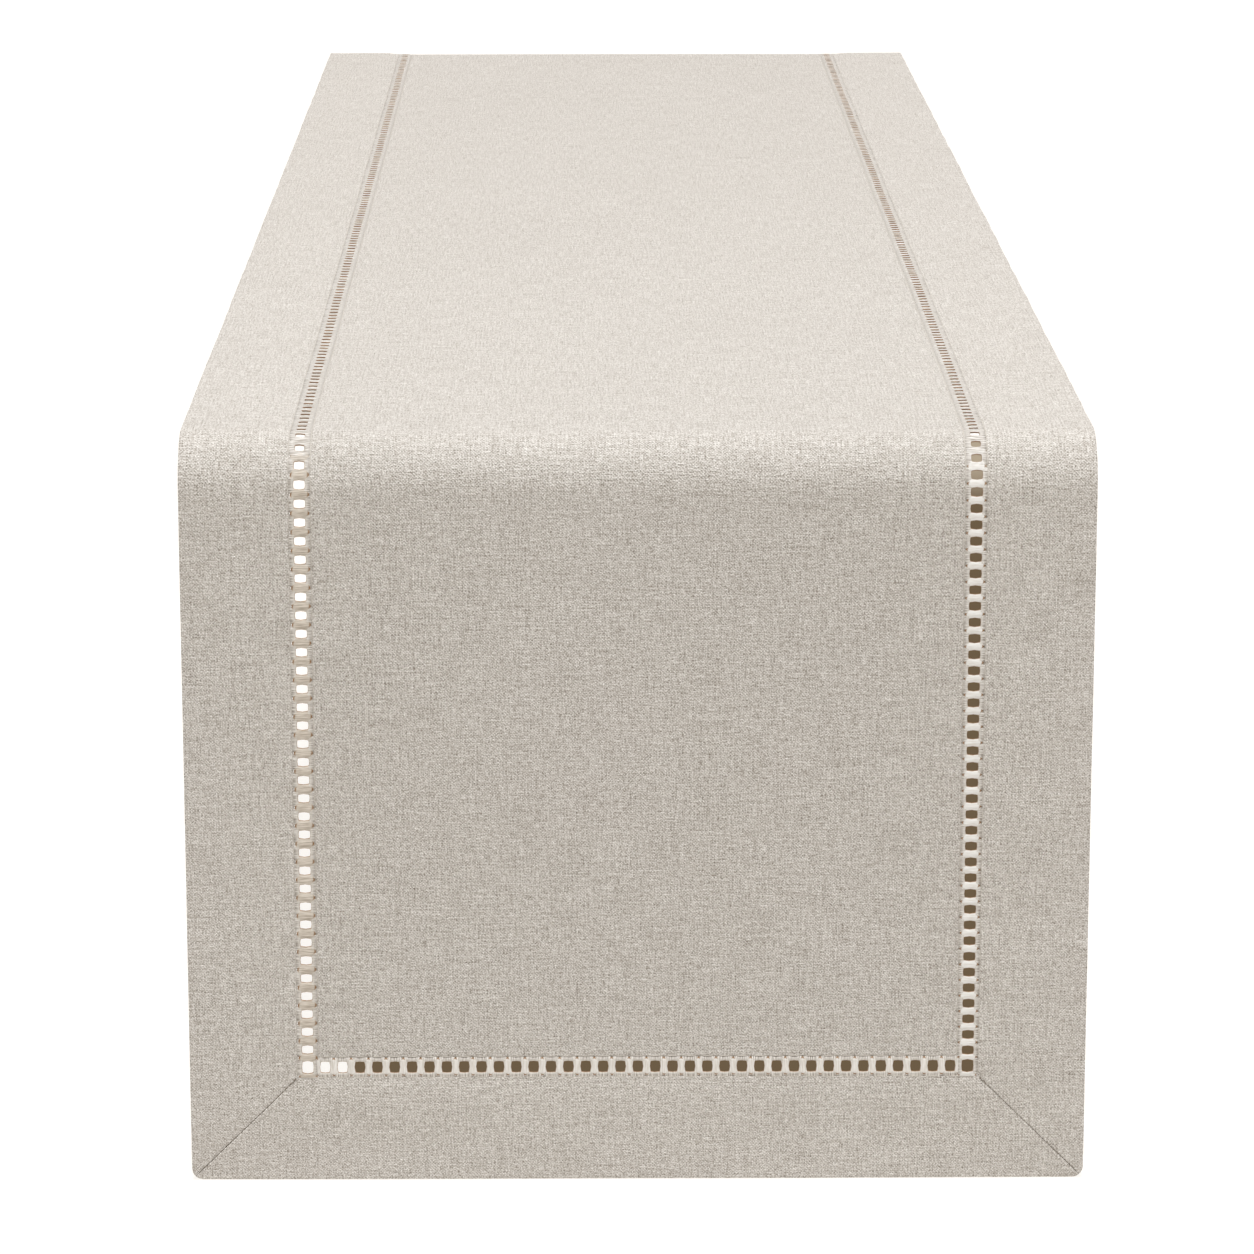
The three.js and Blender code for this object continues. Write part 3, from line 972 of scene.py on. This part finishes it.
# %% A card painted with shade, behind two of the front drop's ladders
CARD_BACK = 2.6 * MM  # how far behind the cloth the card stands
CARD_HALF = 4.4 * MM  # half its width, a little more than a hole's
CARD_SIDE = 0.10 * MM  # its brown front and its pale back are this far apart
CARD_LEFT = -0.114  # it ends here, so that the last holes at the left corner stay bright
CARD_TOP = HANG + 1.05 * BEND


def card_ribbon(x_low, x_high, stops):
    """x across and s along, at two depths behind the cloth: the points and faces of the front, and
    then those of the back, which are turned round."""
    s, x = np.meshgrid(stops, np.array([x_low, x_high]), indexing="ij")
    faces = grid_faces(len(stops), 2)
    front = lay(x, s, -CARD_BACK).reshape(-1, 3)
    behind = lay(x, s, -CARD_BACK - CARD_SIDE).reshape(-1, 3)
    return [(front, faces), (behind, faces[:, ::-1])]


card_x = HALF - LADDER_LINE - CARD_HALF
upright = [even(LADDER_LINE - CARD_HALF, HANG, 20 * MM)[:-1], even(HANG, CARD_TOP, 2 * MM)]
level = np.array([LADDER_LINE - CARD_HALF, LADDER_LINE + CARD_HALF])
layers = card_ribbon(card_x, card_x + 2 * CARD_HALF, np.concatenate(upright))
layers += card_ribbon(CARD_LEFT, card_x, level)
starts = np.cumsum([0] + [len(points) for points, _ in layers])
faces = np.concatenate([rows + start for (_, rows), start in zip(layers, starts)])
side_of = np.concatenate([np.full(len(rows), i % 2) for i, (_, rows) in enumerate(layers)])
card_mesh = bpy.data.meshes.new("shade_card")
card_mesh.from_pydata(np.concatenate([points for points, _ in layers]).tolist(), [], faces.tolist())
card_mesh.polygons.foreach_set("material_index", side_of.astype(np.int32))
card = bpy.data.objects.new("shade_card", card_mesh)
bpy.context.scene.collection.objects.link(card)
print("card:", len(faces), "faces")

# %% The card's two finishes
# The card's front is painted shade that glows: brown low down, a lighter tan up the bend.
CARD_PAINTED_SHADE, CARD_PAINTED_LIGHTER_SHADE = (0.150, 0.106, 0.062, 1), (0.46, 0.38, 0.28, 1)
CARD_PALE = (0.60, 0.575, 0.535, 1)
PALER_FROM, PALER_TO = -0.025, -0.010  # the heights between which brown becomes tan


def card_front_finish():
    """Painted shade that glows the same in any light: by height, brown low down and tan where the
    card follows the bend up into the light.
    """
    look, shader = dull_finish("card_front_painted_shade", (0, 0, 0, 1))
    nodes, links = look.node_tree.nodes, look.node_tree.links
    height = nodes.new("ShaderNodeSeparateXYZ")
    rise = nodes.new("ShaderNodeMapRange")
    blend = nodes.new("ShaderNodeMix")
    blend.data_type = "RGBA"
    rise.inputs["From Min"].default_value = PALER_FROM
    rise.inputs["From Max"].default_value = PALER_TO
    low, high = [socket for socket in blend.inputs if socket.type == "RGBA"]
    low.default_value, high.default_value = CARD_PAINTED_SHADE, CARD_PAINTED_LIGHTER_SHADE
    glow = next(socket for socket in blend.outputs if socket.type == "RGBA")
    links.new(nodes.new("ShaderNodeTexCoord").outputs["Object"], height.inputs[0])
    links.new(height.outputs["Z"], rise.inputs["Value"])
    links.new(rise.outputs[0], blend.inputs["Factor"])
    links.new(glow, shader.inputs["Emission Color"])
    shader.inputs["Emission Strength"].default_value = 1.0
    return look


card_mesh.materials.append(card_front_finish())
card_mesh.materials.append(dull_finish("card_back", CARD_PALE)[0])
print("finishes with the stage's:", len(bpy.data.materials))

# %% [markdown]
# ## Camera
#
# The lens is long and the camera stands two and a half metres away, which keeps the perspective
# mild. It looks a little down, along the middle of the runner.

# %% Camera
CAMERA_PLACE = (-0.0218, -2.5243, 0.3801)
CAMERA_PITCH, CAMERA_YAW = 0.2343, 0.0092
camera_data = bpy.data.cameras.new("camera")
camera_data.sensor_width = 36.0
camera_data.lens = 144.0
camera = bpy.data.objects.new("camera", camera_data)
camera.location = CAMERA_PLACE
camera.rotation_euler = (math.pi / 2 - CAMERA_PITCH, 0, -CAMERA_YAW)
bpy.context.scene.collection.objects.link(camera)
bpy.context.scene.camera = camera
bpy.context.scene.view_settings.view_transform = "Standard"
